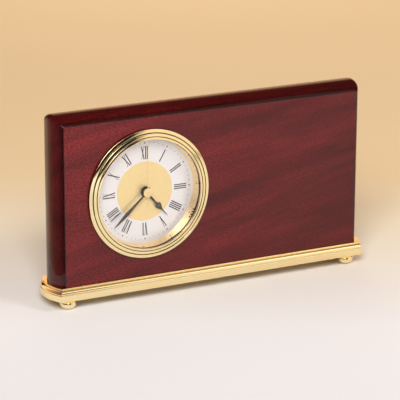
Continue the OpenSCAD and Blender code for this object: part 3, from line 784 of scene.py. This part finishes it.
def build_back():
    """The moulded cover, the ribbed battery lid that pulls off it, and the fluted setting knob."""
    wall_r = CUP_R - 1
    screw_r = wall_r - 2.4
    lid_x, lid_z = (LID_LOW.x + LID_HIGH.x) / 2 - CLOCK_X, (LID_LOW.z + LID_HIGH.z) / 2 - CLOCK_Z
    knob_x, knob_z = (KNOB_LOW.x + KNOB_HIGH.x) / 2 - CLOCK_X, (KNOB_LOW.z + KNOB_HIGH.z) / 2 - CLOCK_Z
    half_w, half_h = (LID_HIGH.x - LID_LOW.x) / 2, (LID_HIGH.z - LID_LOW.z) / 2
    gap = 0.15
    inner = CUP_BACK + 1.2
    hatch = rounded_box(lid_x, lid_z, half_w + gap, half_h + gap, 0.6)
    holes = [hatch, circle(knob_x, knob_z, 1.1)]
    for angle in (90, 210, 330):
        a = math.radians(angle)
        holes.append(circle(screw_r * math.cos(a), screw_r * math.sin(a), 0.8))
    plastic_black = FINISHES["black_plastic"]
    bm = bmesh.new()
    plate(bm, circle(0, 0, wall_r, 128), holes, CUP_BACK, inner, 0.2)
    piece("moulded_back_cover", bm, "insert", plastic_black, ["back_cover"], CLOCK)

    rib_pitch, rib_t = 2, 0.5
    bm = bmesh.new()
    plate(bm, rounded_box(lid_x, lid_z, half_w, half_h, 0.5), [], CUP_BACK, inner, 0.15)
    for i in range(-2, 3):
        rib = rounded_box(lid_x + rib_pitch * i, lid_z, 0.4, 3, 0.35)
        plate(bm, rib, [], CUP_BACK - rib_t, CUP_BACK + 0.1, 0.1)
    piece("battery_lid", bm, "battery_lid", plastic_black, ["battery_cover"], CLOCK)

    top, end = node_level("setting_knob", True), node_level("setting_knob", False)
    flutes = 24
    steps = 8 * flutes
    radius = (KNOB_HIGH.x - KNOB_LOW.x) / 2
    dish = end + 0.45
    # Middle radius, depth of the flutes and height of each ring
    levels = [(4.5, 0, top), (radius - 0.2, 0.15, top - 0.3), (radius - 0.2, 0.15, end + 0.4)]
    levels += [(radius - 0.6, 0.08, end), (3.9, 0, end), (3.5, 0, dish)]
    bm = bmesh.new()
    rings = [[bm.verts.new((0, 0, top))]]
    for middle, swell, height in levels:
        spots = []
        for i in range(steps):
            angle = 2 * math.pi * i / steps
            r = middle + swell * math.cos(flutes * angle)
            spots.append((r * math.cos(angle), r * math.sin(angle)))
        rings.append(ring_of(bm, spots, height))
    rings.append([bm.verts.new((0, 0, dish))])
    for a, b in zip(rings, rings[1:]):
        band(bm, a, b)
    place = CLOCK @ Matrix.Translation((knob_x, knob_z, 0))
    piece("fluted_knob", bm, "setting", plastic_black, ["setting_knob"], place)


def dress_nodes():
    """Gives every CAD node that still shows the finish of its own material slot."""
    for row in frame["record"]["subparts"]:
        mesh = frame["nodes"][row["node"]].data
        mesh.materials.clear()
        mesh.materials.append(FINISHES[row["material_slot"]])


# ---- Studio ----

TABLE_R = 3.5
TENT_R = 3.4
MIDDLE = Vector((0, 0, 0.06))
# Level directions, from the clock towards the tan end of the table and towards the tent's pale wall
BACKWARDS = (0.46282, 0.88645, 0)
SIDEWAYS = (0.8, -0.6, 0)


def distance_along(f, direction):
    """How far a surface point lies along a level direction, in metres."""
    return f.vector("DOT_PRODUCT", f.place, direction)["Value"]


def stage_object(name, bm, finish):
    """A piece of the studio, which isn't part of the clock. Its mesh is in metres."""
    for face in bm.faces:
        face.smooth = True
    mesh = bpy.data.meshes.new(name)
    bm.to_mesh(mesh)
    bm.free()
    mesh.materials.append(finish)
    obj = bpy.data.objects.new(name, mesh)
    bpy.context.scene.collection.objects.link(obj)
    return obj


def glowing(name):
    """A black material that only shines."""
    return Finish(name, Base_Color=(0, 0, 0, 1), Specular_IOR_Level=0.0, Emission_Strength=1.0)


def build_floor():
    """A round table of paper, near-white in front of the clock and warm tan behind it."""
    f = Finish("paper", Specular_IOR_Level=0.1)
    share = f.spread(distance_along(f, BACKWARDS), 0, 1, -0.30, 0.25)
    near, below, past = (0.46, 0.455, 0.465), (0.59, 0.57, 0.565), (0.60, 0.545, 0.48)
    behind, far = (0.61, 0.52, 0.39), (0.62, 0.48, 0.30)
    f.colour(f.ramp(share, (0.0, near), (0.4, below), (0.6, past), (0.8, behind), (1.0, far)))
    f.roughness(f.spread(f.noise(400, 3), 0.85, 0.95))
    bm = bmesh.new()
    lathe(bm, [(0, 0), (0.3, 0), (1.0, 0), (TABLE_R, 0)], 96, closed=False)
    stage_object("paper_table", bm, f.material)


def build_tent():
    """A dark tent that only mirrors see, with a low warm glow behind the clock and a pale wall beside it."""
    f = glowing("tent")
    height = f.axes()["Z"]
    dark = (0.02, 0.017, 0.016)
    behind = f.spread(distance_along(f, BACKWARDS), 0, 1, 0.80 * TENT_R, 0.92 * TENT_R)
    amber, orange = (0.9, 0.64, 0.40), (1.3, 0.66, 0.35)
    glow = f.ramp(f.spread(height, 0, 1, 0, 2.2), (0, amber), (0.6, orange), (1, dark))
    beside = f.spread(distance_along(f, SIDEWAYS), 0, 1, 0.76 * TENT_R, 0.84 * TENT_R)
    cream, pale = (0.95, 0.84, 0.70), (1.1, 0.94, 0.84)
    wall = f.ramp(f.spread(height, 0, 1, 0, 2.8), (0, cream), (0.8, pale), (1, dark))
    room = f.mix(beside, f.mix(behind, (*dark, 1), glow), wall)
    f.feed(f.shader.inputs["Emission Color"], room)
    bm = bmesh.new()
    lathe(bm, arc(0, 0, TENT_R, -2, 90, 24), 48, closed=False)
    only_mirrored(stage_object("mirror_tent", bm, f.material))


def build_side_card():
    """A card that only mirrors see, gold at the rear and black in front, beside the clock's left end."""
    f = glowing("side_card")
    black, plum, tan, gold = (0.06, 0.035, 0.04), (0.25, 0.13, 0.14), (0.75, 0.45, 0.28), (1.15, 0.76, 0.45)
    depth = f.spread(f.axes()["Y"], 0, 1, -0.05, 0.10)
    shade = f.ramp(depth, (0, black), (0.35, plum), (0.7, tan), (1, gold))
    f.feed(f.shader.inputs["Emission Color"], shade)
    bm = bmesh.new()
    plate(bm, rounded_box(0.0, 0.0525, 0.001, 0.1475, 0.0005), [], 0.002, 0.15)
    card = stage_object("side_card", bm, f.material)
    card.location.x = -0.165
    only_mirrored(card)


def only_mirrored(obj):
    """Leaves an object to be seen in reflections alone."""
    obj.visible_camera = False
    obj.visible_diffuse = False
    obj.visible_shadow = False
    obj.visible_transmission = False
    obj.visible_volume_scatter = False


def mirror_panel(name, direction, distance, size, radiance):
    """The lit face of a soft box, as polished metal and lacquer see it."""
    f = glowing(name)
    cloud = f.ramp(f.noise(3, 2), (0.3, tuple(0.85 * v for v in radiance)), (0.7, radiance))
    f.feed(f.shader.inputs["Emission Color"], cloud)
    bm = bmesh.new()
    half_w, half_h = size[0] / 2, size[1] / 2
    plate(bm, rounded_box(0, 0, half_w, half_h, 0.2 * min(half_w, half_h)), [], 0, 0.01)
    panel = stage_object(name, bm, f.material)
    face_target(panel, MIDDLE, direction, distance)
    only_mirrored(panel)


def face_target(obj, target, direction, distance):
    """Puts an object that far from a target in a direction, with its Z axis pointing away from the target."""
    towards = Vector(direction).normalized()
    obj.location = target + towards * distance
    obj.rotation_mode = "QUATERNION"
    obj.rotation_quaternion = towards.to_track_quat("Z", "Y")


def area_light(name, direction, distance, size, power, colour, target=MIDDLE, spread=180):
    """A soft box that faces the clock, or another target. Mirrors don't see it, and see panels instead."""
    data = bpy.data.lights.new(name, "AREA")
    data.shape = "RECTANGLE"
    data.size, data.size_y = size
    data.energy = power
    data.color = colour
    data.spread = math.radians(spread)
    light = bpy.data.objects.new(name, data)
    face_target(light, target, direction, distance)
    light.visible_glossy = False
    bpy.context.scene.collection.objects.link(light)


def light_studio():
    """Soft boxes from the front left, the right and behind, a glow on the paper and a warm even room."""
    key, fill_side = (-0.42, -0.70, 0.56), (0.44, -0.67, 0.6)
    area_light("key_box", key, 1.7, (0.7, 0.7), 46, (0.84, 0.92, 1.0))
    mirror_panel("key_panel", key, 1.7, (1.2, 1.0), (2.8, 2.5, 2.45))
    mirror_panel("key_core", (-0.38, -0.66, 0.60), 1.6, (0.22, 0.16), (14.0, 13.0, 12.5))
    area_light("fill_box", fill_side, 1.7, (0.5, 0.4), 12, (1.0, 0.95, 0.92))
    mirror_panel("fill_panel", fill_side, 1.7, (1.0, 0.45), (1.9, 1.6, 1.5))
    mirror_panel("top_panel", (0.30, -0.52, 1.05), 1.6, (1.5, 0.55), (0.52, 0.45, 0.40))
    paper_behind = Vector((0.75, 1.1, 0))
    area_light("paper_light", (-0.35, 0.2, 1.0), 1.3, (0.8, 0.8), 3.9, (1.0, 0.92, 0.8), paper_behind, 110)
    area_light("rear_light", (0.45, 0.85, 0.25), 1.8, (0.7, 0.7), 4, (1.0, 0.93, 0.85))
    world = bpy.data.worlds.new("studio")
    bpy.context.scene.world = world
    world.use_nodes = True
    background = world.node_tree.nodes["Background"]
    background.inputs["Color"].default_value = (0.465, 0.315, 0.19, 1)
    background.inputs["Strength"].default_value = 1.0


# ---- Camera ----

CAMERA_AT = Vector((-0.6141, -1.1693, 0.4442))
CAMERA_YAW = math.radians(27.57)
CAMERA_PITCH = math.radians(16.49)
CAMERA_ROLL = math.radians(0.16)
CAMERA_LENS = 198.7
CAMERA_SENSOR = 36


def add_camera():
    """A long lens from the front left, a little above the clock."""
    data = bpy.data.cameras.new("camera")
    data.sensor_width = CAMERA_SENSOR
    data.lens = CAMERA_LENS
    camera = bpy.data.objects.new("camera", data)
    forward = Vector((
        math.sin(CAMERA_YAW) * math.cos(CAMERA_PITCH),
        math.cos(CAMERA_YAW) * math.cos(CAMERA_PITCH),
        -math.sin(CAMERA_PITCH),
    ))
    level = Vector((math.cos(CAMERA_YAW), -math.sin(CAMERA_YAW), 0))
    upright = level.cross(forward)
    right = math.cos(CAMERA_ROLL) * level + math.sin(CAMERA_ROLL) * upright
    up = math.cos(CAMERA_ROLL) * upright - math.sin(CAMERA_ROLL) * level
    turned = Matrix((right, up, -forward)).transposed().to_4x4()
    camera.matrix_world = Matrix.Translation(CAMERA_AT) @ turned
    bpy.context.scene.collection.objects.link(camera)
    bpy.context.scene.camera = camera


add_camera()
build_floor()
build_tent()
build_side_card()
light_studio()
bpy.context.scene.view_settings.view_transform = "Standard"

dress_nodes()
build_block()
build_base()
build_feet()
build_bezel()
build_crystal()
build_cone()
build_grip_ring()
build_dial()
build_hands()
build_back()
